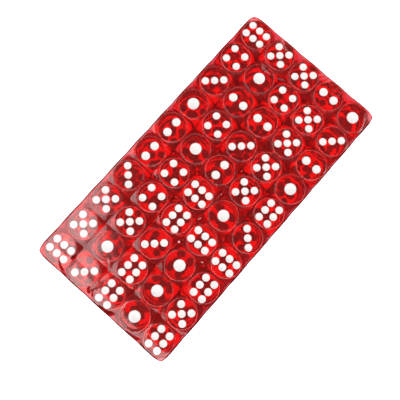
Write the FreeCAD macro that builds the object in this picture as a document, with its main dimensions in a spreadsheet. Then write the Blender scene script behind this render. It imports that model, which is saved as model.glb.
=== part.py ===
import FreeCAD, Part
import math
import os

import Sketcher
from FreeCAD import Placement, Rotation, Vector

# A shrink-wrapped brick of casino dice: two layers of fifty round-cornered dice, ten along X and
# five along Y, closed in two halves of clear film that are welded round the middle of the sides.
# Frame: the origin is the middle of the underside, +X runs along the ten dice and +Z is up.

LAYERS = ("lower", "upper")
FACES = (1, 2, 3, 4, 5, 6)

# How each die of a layer lies, row by row from +Y to -Y and along +X in a row. The first digit is
# the value on top, and the second is the number of quarter turns about Z.
DICE_AS_PACKED = {
    "upper": (
        "61 52 50 30 20 22 13 31 42 63",
        "33 10 51 42 40 11 43 21 12 50",
        "60 62 31 62 61 20 33 23 41 53",
        "12 13 10 63 11 52 50 51 53 21",
        "60 51 62 61 32 60 10 23 31 12",
    ),
    "lower": (
        "23 61 40 12 53 30 61 22 40 51",
        "50 31 12 63 20 41 52 10 33 60",
        "11 42 53 20 31 60 13 42 51 20",
        "62 20 31 50 43 12 30 61 22 43",
        "30 53 21 42 10 53 21 30 62 11",
    ),
}

doc = FreeCAD.newDocument("dice_brick")

# ---------------------------------------------------------------------------- driving dimensions

DIMENSIONS = (
    ("die_size", 16.0, "side of one die"),
    ("rim_round", 0.7, "radius round the rim of a die's face"),
    ("die_ball", 10.95, "radius of the ball that a die's edges and corners are turned to"),
    ("one_pip_width", 5.8, "width of the pip of a one"),
    ("one_pip_depth", 0.9, "depth of the pip of a one"),
    ("two_pip_width", 4.2, "width of the pips of a two"),
    ("two_pip_depth", 0.7, "depth of the pips of a two"),
    ("pip_width", 3.7, "width of every other pip"),
    ("pip_depth", 0.6, "depth of every other pip"),
    ("paint_depth", 0.15, "thickness of the paint at the middle of a pip"),
    ("pip_offset", 3.3, "from the middle of a face to the pips of a two to a five"),
    ("six_offset", 4.5, "from the middle of a face to the end pips of a six"),
    ("six_half_gap", 2.65, "from the middle of a face to each row of a six"),
    ("dice_along", 10, "dice along X"),
    ("dice_across", 5, "dice along Y"),
    ("die_gap", 0.12, "gap between one die and the next in a layer"),
    ("row_slack", 0.2, "how far a row may stand off centre along X"),
    ("loose_turn", 0.25, "how far a die may stand off square, in degrees"),
    ("rest_gap", 0.1, "gap under and over each layer"),
    ("film_thickness", 0.12, "thickness of the film"),
    ("film_gap", 0.15, "gap from the dice to the film at the sides"),
    ("film_round", 1.4, "outside radius of the film's edges"),
    ("weld_width", 1.0, "how far the weld stands out from the sides"),
)

sheet = doc.addObject("Spreadsheet::Sheet", "Dimensions")
for line, (alias, value, meaning) in enumerate(DIMENSIONS, start=1):
    sheet.set(f"A{line}", alias)
    sheet.set(f"B{line}", str(value))
    sheet.set(f"C{line}", meaning)
    sheet.setAlias(f"B{line}", alias)
doc.recompute()

# Sizes that follow from the driving ones, as expressions that the sub-parts are bound to.
PITCH = "(Dimensions.die_size + Dimensions.die_gap)"
SPAN_X = (
    f"(Dimensions.die_size + (Dimensions.dice_along - 1) * {PITCH}"
    " + 2 * (Dimensions.row_slack + Dimensions.film_gap + Dimensions.film_thickness))"
)
SPAN_Y = (
    f"(Dimensions.die_size + (Dimensions.dice_across - 1) * {PITCH}"
    " + 2 * (Dimensions.film_gap + Dimensions.film_thickness))"
)
HALF_HEIGHT = (
    "(Dimensions.film_thickness + 1.5 * Dimensions.rest_gap + Dimensions.die_size)"
)


def size(alias):
    """The number in the cell of this alias."""
    return float(sheet.get(alias))


# ------------------------------------------------------------------------------------- one die


def origin_plane(body, role):
    """One of the three planes of a body's own origin."""
    return next(plane for plane in body.Origin.OriginFeatures if plane.Role == role)


def new_sketch(body, name, role, height=None):
    """A sketch on a plane of the body's origin, lifted to a height if one is given."""
    sketch = body.newObject("Sketcher::SketchObject", name)
    sketch.AttachmentSupport = (origin_plane(body, role), [""])
    sketch.MapMode = "FlatFace"
    if height:
        sketch.setExpression(".AttachmentOffset.Base.z", height)
    return sketch


def closed_outline(sketch, corners):
    """A closed chain of lines that run along the sketch's axes, one corner to the next."""
    count = len(corners)
    for i, corner in enumerate(corners):
        following = corners[(i + 1) % count]
        sketch.addGeometry(Part.LineSegment(Vector(*corner, 0), Vector(*following, 0)))
    for i, corner in enumerate(corners):
        following = corners[(i + 1) % count]
        sketch.addConstraint(Sketcher.Constraint("Coincident", i, 2, (i + 1) % count, 1))
        direction = "Horizontal" if corner[1] == following[1] else "Vertical"
        sketch.addConstraint(Sketcher.Constraint(direction, i))


def bind_distance(sketch, name, kind, first, second, expression):
    """Fixes the distance between two line ends of a sketch as drawn, then binds it to the sheet."""
    apart = sketch.getPoint(*second) - sketch.getPoint(*first)
    drawn = apart.x if kind == "DistanceX" else apart.y
    row = sketch.addConstraint(Sketcher.Constraint(kind, *first, *second, drawn))
    sketch.renameConstraint(row, name)
    sketch.setExpression(f"Constraints.{name}", expression)


def centred_rectangle(sketch, span_x, span_y):
    """A rectangle about the sketch's origin, its spans bound to expressions."""
    closed_outline(sketch, [(-9, -7), (9, -7), (9, 7), (-9, 7)])
    sketch.addConstraint(Sketcher.Constraint("Symmetric", 0, 1, 2, 1, -1, 1))
    bind_distance(sketch, "span_x", "DistanceX", (0, 1), (0, 2), span_x)
    bind_distance(sketch, "span_y", "DistanceY", (1, 1), (1, 2), span_y)


def make_blank():
    """The die before it is drilled: a cube turned down to a ball, which leaves six round faces."""
    body = doc.addObject("PartDesign::Body", "die_blank")
    square = new_sketch(body, "die_square", "XY_Plane")
    centred_rectangle(square, "Dimensions.die_size", "Dimensions.die_size")
    cube = body.newObject("PartDesign::Pad", "die_cube")
    cube.Profile = square
    cube.SideType = "Symmetric"
    cube.setExpression("Length", "Dimensions.die_size")
    doc.recompute()

    # Edges and corners are cut by a ring about Z whose inside is the ball.
    ball, reach = size("die_ball"), size("die_size")
    ring = new_sketch(body, "outside_the_ball", "XZ_Plane")
    ring.addGeometry(Part.Arc(Vector(0, -ball, 0), Vector(ball, 0, 0), Vector(0, ball, 0)))
    ring.addGeometry(Part.Arc(Vector(0, -reach, 0), Vector(reach, 0, 0), Vector(0, reach, 0)))
    ring.addGeometry(Part.LineSegment(Vector(0, -ball, 0), Vector(0, -reach, 0)))
    ring.addGeometry(Part.LineSegment(Vector(0, ball, 0), Vector(0, reach, 0)))
    joined = ((0, 1, 2, 1), (0, 2, 3, 1), (1, 1, 2, 2), (1, 2, 3, 2))
    for pair in joined:
        ring.addConstraint(Sketcher.Constraint("Coincident", *pair))
    for arc in (0, 1):
        ring.addConstraint(Sketcher.Constraint("Coincident", arc, 3, -1, 1))
        ring.addConstraint(Sketcher.Constraint("PointOnObject", arc, 1, -2))
        ring.addConstraint(Sketcher.Constraint("PointOnObject", arc, 2, -2))
    for arc, name, alias in ((0, "ball", "die_ball"), (1, "reach", "die_size")):
        row = ring.addConstraint(Sketcher.Constraint("Radius", arc, size(alias)))
        ring.renameConstraint(row, name)
        ring.setExpression(f"Constraints.{name}", f"Dimensions.{alias}")
    doc.recompute()

    turned = body.newObject("PartDesign::Groove", "die_turned")
    turned.Profile = ring
    turned.ReferenceAxis = (ring, ["V_Axis"])
    turned.Angle = 360
    doc.recompute()
    if not turned.Shape.Volume < 0.999 * cube.Shape.Volume:
        raise RuntimeError("the die was not turned down to the ball")

    rims = body.newObject("PartDesign::Fillet", "face_rims")
    rims.Base = (turned, [""])
    rims.UseAllEdges = True
    rims.setExpression("Radius", "Dimensions.rim_round")
    doc.recompute()
    return body


# Turns the top of the die to each face. Opposite faces add up to seven, and the one, the two and
# the three run anticlockwise round the corner where they meet.
FACE_TURNS = {
    1: Rotation(),
    2: Rotation(Vector(0, 1, 0), 90),
    3: Rotation(Vector(1, 0, 0), -90),
    4: Rotation(Vector(1, 0, 0), 90),
    5: Rotation(Vector(0, 1, 0), -90),
    6: Rotation(Vector(1, 0, 0), 180),
}


def pip_places(value):
    """Where the pips of a face lie, from its middle."""
    side, end, half = size("pip_offset"), size("six_offset"), size("six_half_gap")
    square = [(x, y) for x in (-side, side) for y in (-side, side)]
    return {
        1: [(0, 0)],
        2: [(-side, 0), (side, 0)],
        3: [(-side, -side), (0, 0), (side, side)],
        4: square,
        5: [*square, (0, 0)],
        6: [(x, y) for x in (-end, 0, end) for y in (-half, half)],
    }[value]


def pip_kind(value):
    """The prefix of the cells that size the pips of a face."""
    return {1: "one_pip", 2: "two_pip"}.get(value, "pip")


def make_drilling(kind):
    """One pip at the middle of the top face: the ball that drills it, and its coat of paint."""
    width, depth = f"Dimensions.{kind}_width", f"Dimensions.{kind}_depth"
    radius = f"(({width} / 2)^2 + {depth}^2) / (2 * {depth})"
    centre = f"Dimensions.die_size / 2 + {radius} - {depth}"

    drill = doc.addObject("Part::Sphere", f"{kind}_drill")
    drill.setExpression("Radius", radius)
    drill.setExpression(".Placement.Base.z", centre)

    inside = doc.addObject("Part::Box", f"{kind}_inside")
    for side in ("Length", "Width"):
        inside.setExpression(side, f"2 * {width}")
    inside.setExpression("Height", "Dimensions.die_size / 2")
    for axis in ("x", "y"):
        inside.setExpression(f".Placement.Base.{axis}", f"-{width}")

    hollow = doc.addObject("Part::Common", f"{kind}_hollow")
    hollow.Base, hollow.Tool = drill, inside

    unpainted = doc.addObject("Part::Sphere", f"{kind}_unpainted")
    unpainted.setExpression("Radius", radius)
    unpainted.setExpression(".Placement.Base.z", f"{centre} + Dimensions.paint_depth")

    paint = doc.addObject("Part::Cut", f"{kind}_paint")
    paint.Base, paint.Tool = hollow, unpainted
    return drill, paint


def placed_copy(source, name, placement):
    """A link that shows a source at a place of its own."""
    copy = doc.addObject("App::Link", name)
    copy.LinkedObject = source
    copy.LinkTransform = True
    copy.Placement = placement
    return copy


def make_die():
    """A drilled die and the paint of its twenty-one pips."""
    blank = make_blank()
    tools = {kind: make_drilling(kind) for kind in ("one_pip", "two_pip", "pip")}
    doc.recompute()
    drills, coats = [], []
    for value in FACES:
        drill, paint = tools[pip_kind(value)]
        for number, (x, y) in enumerate(pip_places(value), start=1):
            place = Placement(Vector(), FACE_TURNS[value]) * Placement(Vector(x, y, 0), Rotation())
            drills.append(placed_copy(drill, f"drill_{value}_{number}", place))
            coats.append(placed_copy(paint, f"paint_{value}_{number}", place))
    drilling = doc.addObject("Part::MultiFuse", "all_drills")
    drilling.Shapes = drills
    die = doc.addObject("Part::Cut", "drilled_die")
    die.Base, die.Tool = blank, drilling
    pips = doc.addObject("Part::Compound", "painted_pips")
    pips.Links = coats
    doc.recompute()
    return die, pips


# ------------------------------------------------------------------------------- rows of dice


def die_turn(layer_number, row, column, code):
    """How one die stands in its row: its value up, its quarter turns, and a little off square."""
    value, quarter_turns = int(code[0]), int(code[1])
    off_square = size("loose_turn") * math.sin(5.1 * column + 2.3 * row + layer_number)
    about_z = Rotation(Vector(0, 0, 1), 90 * quarter_turns + off_square)
    return about_z * FACE_TURNS[value].inverted()


def make_row(layer_number, row, die, pips):
    """One row of ten dice along X, as a node of dice and a node of the paint in their pips."""
    layer = LAYERS[layer_number]
    pitch = size("die_size") + size("die_gap")
    middle = (size("dice_along") - 1) / 2
    codes = DICE_AS_PACKED[layer][row].split()
    nodes = []
    for source, what in ((die, "dice"), (pips, "pips")):
        label = f"{layer}_row_{row + 1}_{what}"
        copies = []
        for column, code in enumerate(codes):
            place = Vector((column - middle) * pitch, 0, 0)
            turn = die_turn(layer_number, row, column, code)
            copies.append(placed_copy(source, f"{label}_{column + 1}", Placement(place, turn)))
        node = doc.addObject("Part::Compound", label)
        node.Links = copies
        shift = math.sin(2.4 * row + 1.3 * layer_number)
        across = f"((Dimensions.dice_across - 1) / 2 - {row}) * {PITCH}"
        up = (
            "Dimensions.film_thickness + Dimensions.rest_gap + Dimensions.die_size / 2"
            f" + {layer_number} * (Dimensions.die_size + Dimensions.rest_gap)"
        )
        node.setExpression(".Placement.Base.x", f"{shift:.3f} * Dimensions.row_slack")
        node.setExpression(".Placement.Base.y", across)
        node.setExpression(".Placement.Base.z", up)
        nodes.append(node)
    return nodes


# ------------------------------------------------------------------------------------ the film


def is_level(edge, height):
    """True if an edge lies flat at this height."""
    return all(abs(vertex.Z - height) < 1e-6 for vertex in edge.Vertexes)


def is_upright(edge):
    """True if an edge runs along Z."""
    first, last = edge.Vertexes[0].Point, edge.Vertexes[-1].Point
    return abs(first.x - last.x) + abs(first.y - last.y) < 1e-6


def make_film(layer):
    """Half of the film: a thin tray that is open at mid height, with half of the weld on three
    of its sides. The fourth side, towards -X, is where the sheet was folded."""
    upper = layer == "upper"
    body = doc.addObject("PartDesign::Body", f"{layer}_film")
    outline = new_sketch(body, f"{layer}_film_outline", "XY_Plane", HALF_HEIGHT)
    centred_rectangle(outline, SPAN_X, SPAN_Y)
    block = body.newObject("PartDesign::Pad", f"{layer}_film_block")
    block.Profile = outline
    block.Reversed = not upper
    block.setExpression("Length", HALF_HEIGHT)
    doc.recompute()

    closed_at = block.Shape.BoundBox.ZMax if upper else block.Shape.BoundBox.ZMin
    open_at = block.Shape.BoundBox.ZMin if upper else block.Shape.BoundBox.ZMax
    bent = [
        f"Edge{number}"
        for number, edge in enumerate(block.Shape.Edges, start=1)
        if is_level(edge, closed_at) or is_upright(edge)
    ]
    edges = body.newObject("PartDesign::Fillet", f"{layer}_film_edges")
    edges.Base = (block, bent)
    edges.setExpression("Radius", "Dimensions.film_round")
    doc.recompute()

    mouth = next(
        f"Face{number}"
        for number, face in enumerate(edges.Shape.Faces, start=1)
        if abs(face.CenterOfMass.z - open_at) < 1e-6
    )
    tray = body.newObject("PartDesign::Thickness", f"{layer}_film_tray")
    tray.Base = (edges, [mouth])
    tray.Reversed = True
    tray.setExpression("Value", "Dimensions.film_thickness")
    doc.recompute()
    if not tray.Shape.Volume < 0.1 * edges.Shape.Volume:
        raise RuntimeError(f"the {layer} film was not hollowed")

    # The weld runs along both long sides and round the +X end, from inside the film's wall.
    weld = new_sketch(body, f"{layer}_weld_outline", "XY_Plane", HALF_HEIGHT)
    half_x, half_y = tray.Shape.BoundBox.XMax, tray.Shape.BoundBox.YMax
    near = size("film_thickness") / 2
    far = size("weld_width")
    start = size("film_round") - half_x
    corners = [
        (start, half_y + far),
        (start, half_y - near),
        (half_x - near, half_y - near),
        (half_x - near, near - half_y),
        (start, near - half_y),
        (start, -half_y - far),
        (half_x + far, -half_y - far),
        (half_x + far, half_y + far),
    ]
    closed_outline(weld, corners)
    weld.addConstraint(Sketcher.Constraint("Vertical", 0, 2, 4, 1))
    origin = (-1, 1)
    inner, outer = "- Dimensions.film_thickness / 2", "+ Dimensions.weld_width"
    distances = (
        ("fold_x", "DistanceX", (0, 1), origin, f"{SPAN_X} / 2 - Dimensions.film_round"),
        ("inner_x", "DistanceX", origin, (2, 1), f"{SPAN_X} / 2 {inner}"),
        ("outer_x", "DistanceX", origin, (6, 1), f"{SPAN_X} / 2 {outer}"),
        ("inner_back", "DistanceY", origin, (2, 1), f"{SPAN_Y} / 2 {inner}"),
        ("inner_front", "DistanceY", (3, 1), origin, f"{SPAN_Y} / 2 {inner}"),
        ("outer_back", "DistanceY", origin, (7, 1), f"{SPAN_Y} / 2 {outer}"),
        ("outer_front", "DistanceY", (6, 1), origin, f"{SPAN_Y} / 2 {outer}"),
    )
    for distance in distances:
        bind_distance(weld, *distance)
    doc.recompute()
    strip = body.newObject("PartDesign::Pad", f"{layer}_weld")
    strip.Profile = weld
    strip.Reversed = not upper
    strip.setExpression("Length", "Dimensions.film_thickness")
    doc.recompute()
    if not strip.Shape.Volume > tray.Shape.Volume:
        raise RuntimeError(f"the {layer} weld added nothing")
    body.Placement = Placement()
    return body


# ------------------------------------------------------------------------ build, check and write


def check(item):
    """Stops with a plain message if an object of the document failed."""
    if "Invalid" in item.State or "Error" in item.State:
        raise RuntimeError(f"{item.Label} is in state {item.State}")


def write_node(node):
    """Writes one sub-part, after its shape has passed as whole and valid."""
    if node.Shape.isNull() or not node.Shape.isValid():
        raise RuntimeError(f"{node.Label} has no valid shape")
    node.Shape.exportStep(os.path.join("parts", f"{node.Label}.step"))
    box = node.Shape.BoundBox
    print(
        f"{node.Label}: {len(node.Shape.Solids)} solids, {node.Shape.Volume / 1000:.3f} cm3,"
        f" x {box.XMin:.2f} to {box.XMax:.2f}, y {box.YMin:.2f} to {box.YMax:.2f},"
        f" z {box.ZMin:.2f} to {box.ZMax:.2f}"
    )


die, pips = make_die()
nodes = [make_film(layer) for layer in LAYERS]
for layer_number in range(len(LAYERS)):
    for row in range(int(size("dice_across"))):
        nodes += make_row(layer_number, row, die, pips)
doc.recompute()

for item in doc.Objects:
    check(item)
os.makedirs("parts", exist_ok=True)
for node in nodes:
    write_node(node)
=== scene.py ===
import bpy
import numpy as np
from mathutils import Matrix, Vector


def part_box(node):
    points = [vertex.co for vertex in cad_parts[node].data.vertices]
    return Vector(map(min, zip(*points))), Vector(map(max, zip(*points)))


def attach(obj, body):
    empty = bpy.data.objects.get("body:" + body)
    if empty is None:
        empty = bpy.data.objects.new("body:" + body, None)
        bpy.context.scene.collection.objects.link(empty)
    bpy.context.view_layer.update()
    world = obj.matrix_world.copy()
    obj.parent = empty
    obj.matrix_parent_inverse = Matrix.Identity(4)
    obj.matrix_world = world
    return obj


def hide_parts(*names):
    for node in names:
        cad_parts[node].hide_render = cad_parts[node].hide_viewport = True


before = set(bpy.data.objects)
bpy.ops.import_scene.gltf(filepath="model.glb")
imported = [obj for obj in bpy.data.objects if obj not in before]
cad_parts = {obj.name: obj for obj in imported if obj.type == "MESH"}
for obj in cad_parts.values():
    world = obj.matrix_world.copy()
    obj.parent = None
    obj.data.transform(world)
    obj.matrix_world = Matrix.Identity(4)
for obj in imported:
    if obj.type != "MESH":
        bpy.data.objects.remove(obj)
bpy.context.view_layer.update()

LAYERS = ("lower", "upper")
ROWS = range(1, 6)
DICE_ALONG, DICE_ACROSS = 10, 5

# ------------------------------------------------------------------ places, read from the frame

MM = 0.001
BACK_ROW_LOW, BACK_ROW_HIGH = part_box("upper_row_1_dice")
FRONT_ROW_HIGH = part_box("upper_row_5_dice")[1]
DICE_TOP = BACK_ROW_HIGH.z
DIE = BACK_ROW_HIGH.z - BACK_ROW_LOW.z
PITCH_X = (BACK_ROW_HIGH.x - BACK_ROW_LOW.x - DIE) / (DICE_ALONG - 1)
PITCH_Y = (BACK_ROW_HIGH.y - FRONT_ROW_HIGH.y) / (DICE_ACROSS - 1)
PITCH = (PITCH_X + PITCH_Y) / 2
HALF_LONG = -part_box("upper_film")[0].x
HALF_WIDE = BACK_ROW_HIGH.y + (HALF_LONG + BACK_ROW_LOW.x)
FILM_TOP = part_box("upper_film")[1].z
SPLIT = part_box("upper_film")[0].z
LAYER_MIDDLE = (BACK_ROW_LOW.z + BACK_ROW_HIGH.z) / 2

# ------------------------------------------------------------------------------- the film's mesh

STEP = 0.4 * MM
SKIN = 0.07 * MM  # the film's middle, in from the outside of its CAD solid
EDGE_ROUND = 1.0 * MM
CORNER_ROUND = 0.4 * MM
EDGE_ROWS = 6
WALL_ROWS = 26
WELD_ROWS = 4
WELD = 1.0 * MM
FACE_ROUND = 7.2 * MM  # radius of a die's round face, where the film leaves it
SAG = 0.22 * MM
SAG_WIDTH = 2.6 * MM
CORNER_CUT = 1.1 * MM  # how far the film comes in at the brick's eight corners
CORNER_REACH = 2.8 * MM
RIPPLE = 0.008 * MM
SWELL = 0.16 * MM
EAR = 1.6  # how much wider the weld is at its free corner
EAR_REACH = 5.0 * MM

# Painted shade on the film, from nought to one: a dark red tint that stands for the dark outline of the brick
# and the shade of its creases. Its tint and its gloss follow this.
EDGE_TURN = (0.06, 0.50)  # the angles, in radians, over which the rounded edge goes dark
WALL_SHADE_FADE = (0.7, 1.8)  # mm below the edge, over which the tint drops to half for the walls
WELD_SHADE = 0.6
CREASE_SHADE = 0.55


def hill(distance, width):
    """One in the middle, and next to nothing beyond two widths."""
    return np.exp(-((distance / width) ** 2))


def rise(value, start, end):
    """From nought at start to one at end, smoothly."""
    t = np.clip((value - start) / (end - start), 0, 1)
    return t * t * (3 - 2 * t)


def from_die_middle(along, count, pitch):
    """How far each place lies from the middle of its own die."""
    first = -(count - 1) / 2 * pitch
    index = np.clip(np.round((along - first) / pitch), 0, count - 1)
    return along - first - index * pitch


def sag(a, b):
    """How far the film sinks between the faces of the dice."""
    outside = np.maximum(np.hypot(a, b) - FACE_ROUND, 0)
    return SAG * (1 - hill(outside, SAG_WIDTH))


def ripple(a, b, seed):
    """Low waves in every direction, about one high."""
    draw = np.random.default_rng(seed)
    total = np.zeros_like(a)
    for _ in range(18):
        turn, length, phase = draw.uniform(0, np.pi), draw.uniform(5, 22) * MM, draw.uniform(0, 6.3)
        total += np.sin((a * np.cos(turn) + b * np.sin(turn)) * 2 * np.pi / length + phase)
    return total / 18**0.5


# Folds on the top: start, end (dice from the corner at -X, +Y), half width and height in mm.
FOLDS = [
    ((0.05, 1.00), (0.75, 0.86), 0.9, 0.30),
    ((0.02, 0.86), (0.40, 0.98), 0.5, 0.25),
    ((0.05, 1.95), (0.62, 2.02), 0.7, 0.30),
    ((0.02, 2.16), (0.30, 1.92), 0.5, 0.25),
    ((0.05, 2.98), (0.80, 3.06), 0.9, 0.32),
    ((0.02, 3.95), (0.85, 4.02), 0.8, 0.30),
    ((0.10, 3.55), (0.30, 3.90), 0.4, 0.22),
    ((1.02, 2.02), (1.30, 1.70), 0.35, 0.16),
    ((8.90, 1.22), (8.84, 1.88), 0.45, 0.26),
    ((8.84, 1.88), (9.02, 2.18), 0.45, 0.22),
    ((9.98, 1.10), (9.72, 2.00), 0.5, 0.26),
    ((9.96, 2.96), (9.30, 2.78), 0.4, 0.24),
    ((9.96, 3.10), (9.36, 2.98), 0.35, 0.22),
    ((9.95, 3.24), (9.50, 3.16), 0.4, 0.24),
    ((9.94, 3.40), (9.46, 3.34), 0.3, 0.20),
    ((9.92, 3.56), (9.42, 3.58), 0.4, 0.24),
    ((9.90, 3.72), (9.36, 3.84), 0.45, 0.24),
    ((7.10, 4.96), (7.92, 4.72), 0.6, 0.24),
    ((8.10, 4.96), (8.90, 4.76), 0.6, 0.24),
    ((9.10, 4.90), (9.92, 4.60), 0.7, 0.28),
]


# Painted shade of creases along the end at -X, listed like the folds. They are dark marks in the film's tint
# and have no relief: the last number only sets how strong the mark is.
CREASE_SHADOWS = [
    ((0.30, 0.62), (0.12, 1.26), 0.45, 0.8),
    ((0.20, 0.72), (0.08, 1.36), 0.40, 0.8),
    ((0.72, 1.00), (0.42, 0.95), 0.70, 0.7),
    ((0.28, 1.88), (0.10, 2.10), 0.80, 0.9),
    ((0.16, 1.98), (0.50, 2.07), 0.45, 0.7),
    ((0.02, 2.42), (0.28, 3.16), 1.20, 0.9),
    ((0.02, 3.54), (0.22, 4.20), 1.00, 0.9),
    ((0.12, 4.00), (0.10, 4.95), 0.45, 0.8),
]


def fold_height(x, y, folds):
    """How high these folds stand above the flat film, on the top."""
    total = np.zeros_like(x)
    for start, end, width, height in folds:
        a = np.array([(start[0] - 5) * PITCH_X, (2.5 - start[1]) * PITCH_Y])
        b = np.array([(end[0] - 5) * PITCH_X, (2.5 - end[1]) * PITCH_Y])
        length = np.hypot(*(b - a))
        along = ((x - a[0]) * (b - a)[0] + (y - a[1]) * (b - a)[1]) / length
        off = ((x - a[0]) * -(b - a)[1] + (y - a[1]) * (b - a)[0]) / length
        off = off + 0.12 * length * np.sin(np.pi * np.clip(along / length, 0, 1))
        ends = rise(along, -0.1 * length, 0.25 * length) * (1 - rise(along, 0.55 * length, length))
        total = np.maximum(total, height * MM * hill(off, width * MM) * ends)
    return total


def end_swell(x, y):
    """The film stands a little off the dice along the end at -X, and slopes down to the edge."""
    inward = x + HALF_LONG
    slope = rise(inward, 0.2 * MM, 7.5 * MM) * (1 - rise(inward, 7.5 * MM, 10.5 * MM))
    between = hill(from_die_middle(y, DICE_ACROSS, PITCH_Y), 7.0 * MM)
    return SWELL * slope * (0.35 + 0.65 * between)


def round_corner(across, along, half_a, half_b, radius):
    """Turns the square corners of a grid into round ones."""
    a, b = np.maximum(abs(across) - (half_a - radius), 0), np.maximum(abs(along) - (half_b - radius), 0)
    new_a = a * np.sqrt(1 - b**2 / (2 * radius**2))
    new_b = b * np.sqrt(1 - a**2 / (2 * radius**2))
    return across - np.sign(across) * (a - new_a), along - np.sign(along) * (b - new_b), new_a, new_b


def film_sheet(layer):
    """One half of the film: its face, its walls and its crinkled weld, as one thin sheet."""
    half_x, half_y = HALF_LONG - SKIN - EDGE_ROUND, HALF_WIDE - SKIN - EDGE_ROUND
    count_x, count_y = round(2 * half_x / STEP), round(2 * half_y / STEP)
    grid_x, grid_y = np.meshgrid(
        np.linspace(-half_x, half_x, count_x + 1), np.linspace(-half_y, half_y, count_y + 1), indexing="ij"
    )
    index = np.arange(grid_x.size).reshape(grid_x.shape)
    faces = [np.stack([index[:-1, :-1], index[1:, :-1], index[1:, 1:], index[:-1, 1:]], -1).reshape(-1, 4)]
    rim = np.concatenate([index[:-1, 0], index[-1, :-1], index[:0:-1, -1], index[0, :0:-1]])
    x, y, out_x, out_y = (
        v.ravel() for v in round_corner(grid_x, grid_y, half_x, half_y, CORNER_ROUND)
    )
    rim_x, rim_y = x[rim], y[rim]
    normal_x = np.where(abs(grid_x.ravel()[rim]) > half_x - 1e-9, 1.0, 0.0)
    normal_y = np.where(abs(grid_y.ravel()[rim]) > half_y - 1e-9, 1.0, 0.0)
    corner = (out_x[rim] > 0) & (out_y[rim] > 0)
    normal_x = np.where(corner, out_x[rim] / CORNER_ROUND, normal_x) * np.sign(rim_x)
    normal_y = np.where(corner, out_y[rim] / CORNER_ROUND, normal_y) * np.sign(rim_y)
    length = np.hypot(normal_x, normal_y)
    normal_x, normal_y = normal_x / length, normal_y / length

    top = FILM_TOP - SKIN
    places = [np.stack([x, y, np.full_like(x, top)], -1)]
    normals = [np.tile([0.0, 0.0, 1.0], (x.size, 1))]
    for k in range(1, EDGE_ROWS + 1):
        angle = np.pi / 2 * k / EDGE_ROWS
        reach, drop = EDGE_ROUND * np.sin(angle), EDGE_ROUND * (1 - np.cos(angle))
        places.append(np.stack([rim_x + normal_x * reach, rim_y + normal_y * reach,
                                np.full_like(rim_x, top - drop)], -1))
        normals.append(np.stack([normal_x * np.sin(angle), normal_y * np.sin(angle),
                                 np.full_like(rim_x, np.cos(angle))], -1))
    wall_top = top - EDGE_ROUND
    wall_foot = SPLIT + 0.1 * MM
    for k in range(1, WALL_ROWS + 1):
        places.append(np.stack([rim_x + normal_x * EDGE_ROUND, rim_y + normal_y * EDGE_ROUND,
                                np.full_like(rim_x, wall_top + (wall_foot - wall_top) * k / WALL_ROWS)], -1))
        normals.append(np.stack([normal_x, normal_y, np.zeros_like(rim_x)], -1))
    rings = EDGE_ROWS + WALL_ROWS
    ring_index = [rim] + [index.size + k * rim.size + np.arange(rim.size) for k in range(rings)]
    place, normal = np.concatenate(places), np.concatenate(normals)

    # What the shrunk film does: it sinks between the dice, folds, swells and ripples.
    px, py, pz = place.T
    up, side_x, side_y = normal[:, 2], abs(normal[:, 0]), abs(normal[:, 1])
    local_x = from_die_middle(px, DICE_ALONG, PITCH_X)
    local_y = from_die_middle(py, DICE_ACROSS, PITCH_Y)
    local_z = pz - LAYER_MIDDLE
    sunk = up * sag(local_x, local_y) + side_x * sag(local_y, local_z) + side_y * sag(local_x, local_z)
    from_corner = np.sqrt((abs(px) - HALF_LONG) ** 2 + (abs(py) - HALF_WIDE) ** 2 + (pz - FILM_TOP) ** 2)
    sunk += CORNER_CUT * hill(from_corner, CORNER_REACH)
    seed = 11 if layer == "upper" else 12
    wavy = RIPPLE * ripple(px + pz, py - pz, seed)
    lift = up * (fold_height(px, py, FOLDS) + end_swell(px, py)) if layer == "upper" else 0
    place = place + normal * (wavy - sunk + lift)[:, None]

    # Painted shade: a dark red tint on the rounded edge, the walls, the weld and the creases. It stands for
    # the dark outline of the brick and the shade of its creases.
    below_edge = (FILM_TOP - pz) / MM
    shade_level = rise(np.arcsin(np.clip(np.hypot(normal[:, 0], normal[:, 1]), 0, 1)), *EDGE_TURN)
    shade_level *= 1 - 0.5 * rise(below_edge + 0.3 * ripple(px * 3 + pz, py * 3, 5), *WALL_SHADE_FADE)
    if layer == "upper":
        crease_shadow = rise(fold_height(px, py, CREASE_SHADOWS) / MM, 0.2, 0.6)
        shade_level = np.maximum(shade_level, CREASE_SHADE * up * crease_shadow)

    # The weld: three sides where the two halves are sealed, cut off close and crinkled.
    base = place[ring_index[-1]]
    turn = np.arange(rim.size)
    crinkle = np.random.default_rng(3)
    waves = sum(
        crinkle.uniform(0.3, 1) * np.sin(turn * 2 * np.pi / crinkle.uniform(9, 40) + crinkle.uniform(0, 6.3))
        for _ in range(9)
    ) / 4
    welded = 1 - rise(-base[:, 0], HALF_LONG - 2.2 * MM, HALF_LONG - 0.6 * MM)
    ear = hill(np.hypot(base[:, 0] + HALF_LONG, base[:, 1] - HALF_WIDE), EAR_REACH)
    width = WELD * (welded * (0.85 + 0.15 * waves) + EAR * ear) + 0.05 * MM
    outward = np.stack([normal_x, normal_y, np.zeros_like(normal_x)], -1)
    weld = []
    for k in range(1, WELD_ROWS + 1):
        share = k / WELD_ROWS
        ring = base + outward * (width * share)[:, None]
        ring[:, 2] += 0.16 * MM * waves * np.sin(np.pi * share / 2) * (welded + ear)
        weld.append(ring)
    ring_index += [len(place) + k * rim.size + np.arange(rim.size) for k in range(WELD_ROWS)]
    place = np.concatenate([place] + weld)
    # The weld gets painted shade too.
    shade_level = np.concatenate([shade_level, np.full(len(place) - len(shade_level), WELD_SHADE)])
    for inner, outer in zip(ring_index, ring_index[1:]):
        faces.append(np.stack([inner, outer, np.roll(outer, -1), np.roll(inner, -1)], -1))
    face = np.concatenate(faces)
    if layer == "lower":
        place[:, 2] = 2 * SPLIT - place[:, 2]
        face = face[:, ::-1]

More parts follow.
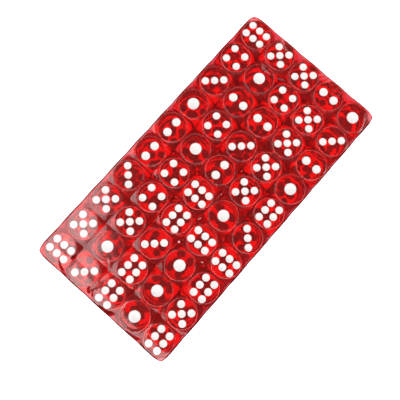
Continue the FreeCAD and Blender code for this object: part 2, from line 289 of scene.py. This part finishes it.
    mesh = bpy.data.meshes.new(f"{layer}_film_sheet")
    mesh.vertices.add(len(place))
    mesh.vertices.foreach_set("co", place.ravel())
    mesh.loops.add(face.size)
    mesh.loops.foreach_set("vertex_index", face.ravel())
    mesh.polygons.add(len(face))
    mesh.polygons.foreach_set("loop_start", np.arange(0, face.size, 4))
    mesh.polygons.foreach_set("use_smooth", np.ones(len(face), bool))
    mesh.update(calc_edges=True)
    mesh.validate()
    painted_shade = mesh.attributes.new("painted_shade", "FLOAT", "POINT")
    painted_shade.data.foreach_set("value", shade_level.astype(np.float32))
    sheet = bpy.data.objects.new(f"{layer}_film_sheet", mesh)
    bpy.context.scene.collection.objects.link(sheet)
    return sheet


# ------------------------------------------------------------------------------------ materials


def new_material(name):
    """An empty node material with its output, ready for a shader."""
    material = bpy.data.materials.new(name)
    material.use_nodes = True
    tree = material.node_tree
    tree.nodes.clear()
    output = tree.nodes.new("ShaderNodeOutputMaterial")
    return material, tree, output


def add(tree, kind, inputs=None, **settings):
    """A node of this kind. inputs are values or other nodes' outputs, by socket name or number."""
    node = tree.nodes.new(kind)
    for name, value in settings.items():
        setattr(node, name, value)
    for name, value in (inputs or {}).items():
        if isinstance(value, bpy.types.NodeSocket):
            tree.links.new(value, node.inputs[name])
        else:
            node.inputs[name].default_value = value
    return node


def die_plastic():
    """Clear red plastic, tumbled smooth: cloudy here and there, with fine rub marks."""
    material, tree, output = new_material("die_plastic")
    place = add(tree, "ShaderNodeTexCoord").outputs["Object"]
    cloud = add(tree, "ShaderNodeTexNoise", {"Vector": place, "Scale": 160.0, "Detail": 3.0})
    tint = add(tree, "ShaderNodeMix", {
        0: cloud.outputs["Fac"], 6: (1.0, 0.05, 0.05, 1), 7: (0.97, 0.03, 0.035, 1),
    }, data_type="RGBA")
    rubs = add(tree, "ShaderNodeTexNoise", {"Vector": place, "Scale": 900.0, "Detail": 4.0})
    rough = add(tree, "ShaderNodeMapRange", {"Value": rubs.outputs["Fac"], "To Min": 0.05, "To Max": 0.14})
    bump = add(tree, "ShaderNodeBump", {"Height": rubs.outputs["Fac"], "Strength": 0.04, "Distance": 0.0002})
    shader = add(tree, "ShaderNodeBsdfPrincipled", {
        "Base Color": tint.outputs[2], "Roughness": rough.outputs["Result"], "Normal": bump.outputs["Normal"],
        "Transmission Weight": 0.92, "IOR": 1.49,
    })
    absorb = add(tree, "ShaderNodeVolumeAbsorption", {"Color": (1.0, 0.04, 0.04, 1), "Density": 150.0})
    tree.links.new(shader.outputs["BSDF"], output.inputs["Surface"])
    tree.links.new(absorb.outputs["Volume"], output.inputs["Volume"])
    return material


def pip_paint():
    """Off-white paint, put on heavily in the drilled spots: a shade greyer where it pooled."""
    material, tree, output = new_material("pip_paint")
    place = add(tree, "ShaderNodeTexCoord").outputs["Object"]
    grain = add(tree, "ShaderNodeTexNoise", {"Vector": place, "Scale": 500.0, "Detail": 4.0})
    tint = add(tree, "ShaderNodeMix", {
        0: grain.outputs["Fac"], 6: (0.69, 0.665, 0.65, 1), 7: (0.63, 0.605, 0.59, 1),
    }, data_type="RGBA")
    bump = add(tree, "ShaderNodeBump", {"Height": grain.outputs["Fac"], "Strength": 0.15, "Distance": 0.0002})
    shader = add(tree, "ShaderNodeBsdfPrincipled", {
        "Base Color": tint.outputs[2], "Roughness": 0.42, "Normal": bump.outputs["Normal"],
        "Specular IOR Level": 0.3,
    })
    tree.links.new(shader.outputs["BSDF"], output.inputs["Surface"])
    return material


def film_plastic():
    """Thin shrink film, clear and glossy on its faces.

    Where painted shade is set, at the edges, walls, weld and creases, it is tinted dark red and is dull. Real
    film has no colour: the tint is painted shade that stands for the dark outline of the brick seen from
    above.
    """
    material, tree, output = new_material("film_plastic")
    place = add(tree, "ShaderNodeTexCoord").outputs["Object"]
    grain = add(tree, "ShaderNodeTexNoise", {"Vector": place, "Scale": 260.0, "Detail": 5.0})
    rough = add(tree, "ShaderNodeMapRange", {"Value": grain.outputs["Fac"], "To Min": 0.04, "To Max": 0.14})
    bump = add(tree, "ShaderNodeBump", {"Height": grain.outputs["Fac"], "Strength": 0.10, "Distance": 0.0003})
    painted_shade = add(tree, "ShaderNodeAttribute", attribute_name="painted_shade").outputs["Fac"]
    # The ramp's dark red stops are painted shade.
    tint = add(tree, "ShaderNodeValToRGB", {"Fac": painted_shade})
    stops = tint.color_ramp.elements
    stops[0].color = (0.985, 0.985, 0.985, 1)
    stops[1].color = (0.05, 0.02, 0.025, 1)
    stops.new(0.5).color = (0.40, 0.025, 0.035, 1)
    clear = add(tree, "ShaderNodeBsdfTransparent", {"Color": tint.outputs["Color"]})
    gloss = add(tree, "ShaderNodeBsdfGlossy", {
        "Roughness": rough.outputs["Result"], "Normal": bump.outputs["Normal"],
    })
    facing = add(tree, "ShaderNodeLayerWeight", {"Blend": 0.5, "Normal": bump.outputs["Normal"]})
    steep = add(tree, "ShaderNodeMath", {0: facing.outputs["Facing"], 1: 4.0}, operation="POWER").outputs[0]
    share = add(tree, "ShaderNodeMapRange", {"Value": steep, "To Min": 0.08, "To Max": 0.9}).outputs["Result"]
    dull = add(tree, "ShaderNodeMapRange", {
        "Value": painted_shade, "From Max": 0.4, "To Min": 1.0, "To Max": 0.04,
    }).outputs["Result"]
    share = add(tree, "ShaderNodeMath", {0: share, 1: dull}, operation="MULTIPLY").outputs[0]
    mix = add(tree, "ShaderNodeMixShader", {0: share, 1: clear.outputs["BSDF"], 2: gloss.outputs["BSDF"]})
    tree.links.new(mix.outputs["Shader"], output.inputs["Surface"])
    return material


DIE_PLASTIC, PIP_PAINT, FILM = die_plastic(), pip_paint(), film_plastic()


def give(node, material):
    """Puts a material in every slot of a CAD node."""
    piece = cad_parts[node]
    piece.data.materials.clear()
    piece.data.materials.append(material)


for layer in LAYERS:
    for row in ROWS:
        give(f"{layer}_row_{row}_dice", DIE_PLASTIC)
        give(f"{layer}_row_{row}_pips", PIP_PAINT)
    film = film_sheet(layer)
    film.data.materials.append(FILM)
    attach(film, f"{layer}_wrap")
    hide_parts(f"{layer}_film")

# -------------------------------------------------------------------------------- studio, camera

CAMERA_PLACE = Vector((-1.61, -0.76, 12.81))  # in dice, from the middle of the top faces
LOOK = Vector((0.0782, 0.0474, -0.9958))
UP = Vector((0.7445, 0.6616, 0.0899))
LENS = 38.0


def make_camera():
    """Nearly straight down, from over the middle of the brick, rolled so that it lies aslant."""
    data = bpy.data.cameras.new("camera")
    data.lens = LENS
    data.sensor_width = 36.0
    camera = bpy.data.objects.new("camera", data)
    bpy.context.scene.collection.objects.link(camera)
    back = -LOOK.normalized()
    right = UP.cross(back).normalized()
    up = back.cross(right)
    place = Vector((0, 0, DICE_TOP)) + CAMERA_PLACE * PITCH
    turn = Matrix((right, up, back)).transposed().to_4x4()
    camera.matrix_world = Matrix.Translation(place) @ turn
    bpy.context.scene.camera = camera


FLOOR_GLOW = 1.05


def make_floor():
    """A plain pale floor that gives off light, like a light table."""
    bpy.ops.mesh.primitive_plane_add(size=12, location=(0, 0, -0.0002))
    floor = bpy.context.object
    floor.name = "floor"
    material, tree, output = new_material("floor")
    shader = add(tree, "ShaderNodeBsdfPrincipled", {
        "Base Color": (0.93, 0.93, 0.93, 1), "Roughness": 0.6, "Specular IOR Level": 0.0,
        "Emission Color": (1, 1, 1, 1), "Emission Strength": FLOOR_GLOW,
    })
    tree.links.new(shader.outputs["BSDF"], output.inputs["Surface"])
    floor.data.materials.append(material)


ZENITH = 0.05  # straight overhead
SKYLINE = 1.0  # strength of the light level with the floor, which is also the backdrop
HORIZON = 0.65  # a little above that
BAND = 4.0  # halfway up, where the film's slopes catch it
KEY = 2.6  # the bright area towards -X


def make_studio():
    """A dim ceiling, light all round below it, and a large bright area overhead towards -X."""
    world = bpy.data.worlds.new("studio")
    bpy.context.scene.world = world
    world.use_nodes = True
    tree = world.node_tree
    tree.nodes.clear()
    toward = add(tree, "ShaderNodeTexCoord").outputs["Generated"]
    height = add(tree, "ShaderNodeSeparateXYZ", {0: toward}).outputs["Z"]

    def slope(direction):
        """How far a line of sight leans this way, for its height."""
        dot = add(tree, "ShaderNodeVectorMath", {0: toward, 1: direction}, operation="DOT_PRODUCT")
        safe = add(tree, "ShaderNodeMath", {0: height, 1: 0.02}, operation="MAXIMUM")
        return add(tree, "ShaderNodeMath", {0: dot.outputs["Value"], 1: safe.outputs[0]},
                   operation="DIVIDE").outputs[0]

    def ramp(value, start, end, low, high):
        return add(tree, "ShaderNodeMapRange", {"Value": value, "From Min": start, "From Max": end,
                                                "To Min": low, "To Max": high},
                   interpolation_type="SMOOTHSTEP").outputs["Result"]

    corner = ramp(slope((-0.663, 0.748, 0)), 0.20, 0.235, 0, 1)
    end = ramp(slope((-1, 0, 0)), 0.272, 0.30, 0, 1)
    box = add(tree, "ShaderNodeMath", {0: corner, 1: end}, operation="MAXIMUM").outputs[0]
    key = ramp(height, 0.60, 0.78, 0, KEY)
    box = add(tree, "ShaderNodeMath", {0: box, 1: key}, operation="MULTIPLY").outputs[0]
    side = add(tree, "ShaderNodeVectorMath", {0: toward, 1: (-0.66, -0.75, 0)}, operation="DOT_PRODUCT")
    side = ramp(side.outputs["Value"], -0.3, 0.5, BAND * 0.6, BAND * 1.35)
    low = ramp(height, 0.10, 0.26, SKYLINE, HORIZON)
    band = ramp(height, 0.62, 0.86, ramp(height, 0.42, 0.56, low, side), ZENITH)
    total = add(tree, "ShaderNodeMath", {0: box, 1: band}, operation="MAXIMUM").outputs[0]
    background = add(tree, "ShaderNodeBackground", {"Color": (1, 1, 1, 1), "Strength": total})
    output = add(tree, "ShaderNodeOutputWorld")
    tree.links.new(background.outputs["Background"], output.inputs["Surface"])


make_camera()
make_floor()
make_studio()
bpy.context.scene.view_settings.view_transform = "Standard"
bpy.context.scene.cycles.max_bounces = 40
bpy.context.scene.cycles.transmission_bounces = 40
bpy.context.scene.cycles.transparent_max_bounces = 40
